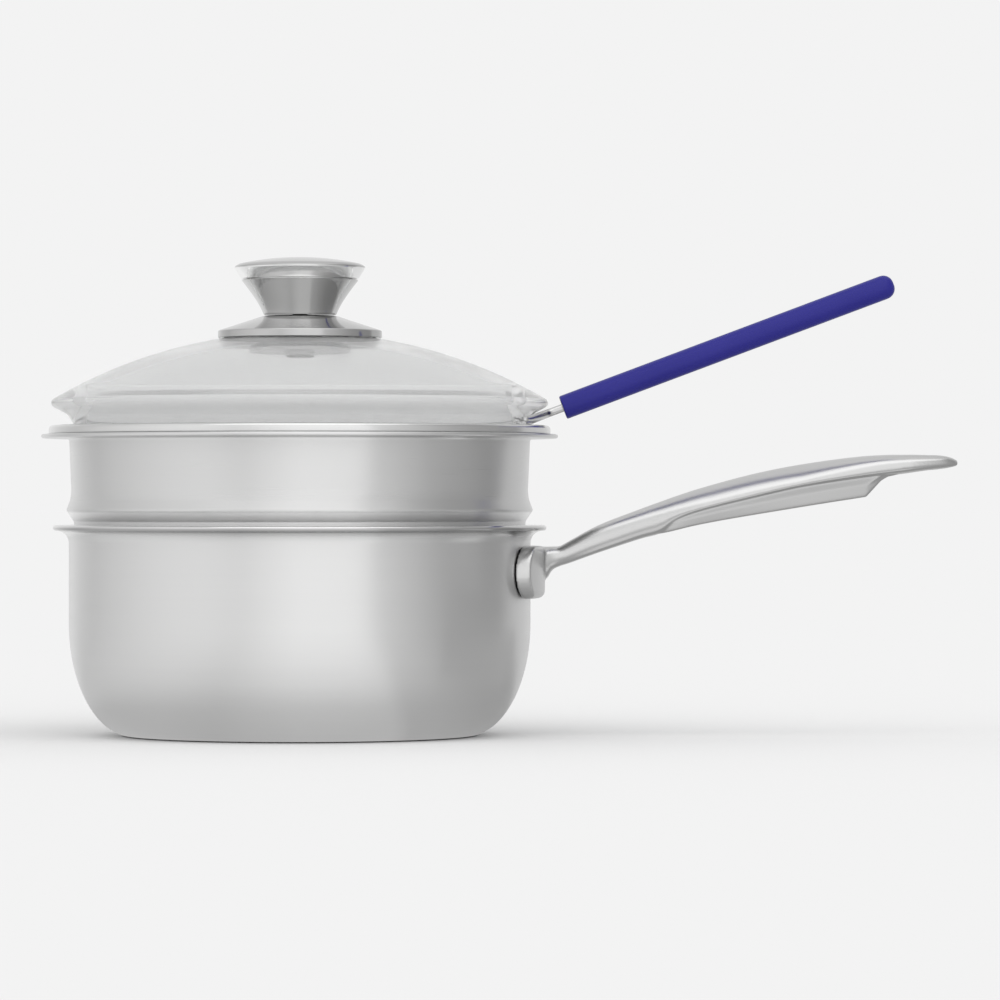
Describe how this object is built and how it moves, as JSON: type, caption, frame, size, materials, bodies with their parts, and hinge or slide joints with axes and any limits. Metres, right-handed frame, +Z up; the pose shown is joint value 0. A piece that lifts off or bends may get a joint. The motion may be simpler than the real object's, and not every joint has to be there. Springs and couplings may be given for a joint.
{
  "type": "saucepan",
  "caption": "Stainless saucepan with a cast handle, and a steamer insert, wire-handled net basket and domed glass lid stacked in its mouth.",
  "frame": {"origin": "centre of the pan's flat underside", "axes": "+X along the pan handle, +Z up, +Y to the left of the handle seen from above with the handle pointing away"},
  "size_m": [0.3662, 0.2064, 0.1913],
  "materials": {
    "brushed_steel": "fine circular brushing",
    "polished_steel": "polished",
    "wire_steel": "drawn wire",
    "blue_plastic": "soft vinyl",
    "clear_glass": "clear",
    "soft_ring": "matt silicone"
  },
  "bodies": {
    "pan": {"pan_body": "brushed_steel", "pan_handle": "polished_steel", "rivet_front": "polished_steel", "rivet_rear": "polished_steel"},
    "steamer": {"steamer_insert": "brushed_steel"},
    "basket": {"basket_rim": "polished_steel", "basket_net_wall": "wire_steel", "basket_net_floor": "wire_steel", "basket_hoop": "wire_steel", "basket_wire_front": "wire_steel", "basket_wire_rear": "wire_steel", "basket_grip": "blue_plastic"},
    "lid": {"lid_glass": "clear_glass", "knob_plate": "polished_steel", "knob_body": "polished_steel", "knob_cap": "polished_steel", "gasket_upper": "soft_ring", "gasket_lower": "soft_ring", "lid_washer": "brushed_steel", "lid_screw": "polished_steel"}
  },
  "joints": [
    {"name": "steamer_lift", "type": "slide", "parent": "pan", "child": "steamer", "axis": [0, 0, 1], "range_m": [0, 0.08]},
    {"name": "basket_lift", "type": "slide", "parent": "steamer", "child": "basket", "axis": [0, 0, 1], "range_m": [0, 0.09]},
    {"name": "lid_lift", "type": "slide", "parent": "basket", "child": "lid", "axis": [0, 0, 1], "range_m": [0, 0.08]}
  ]
}
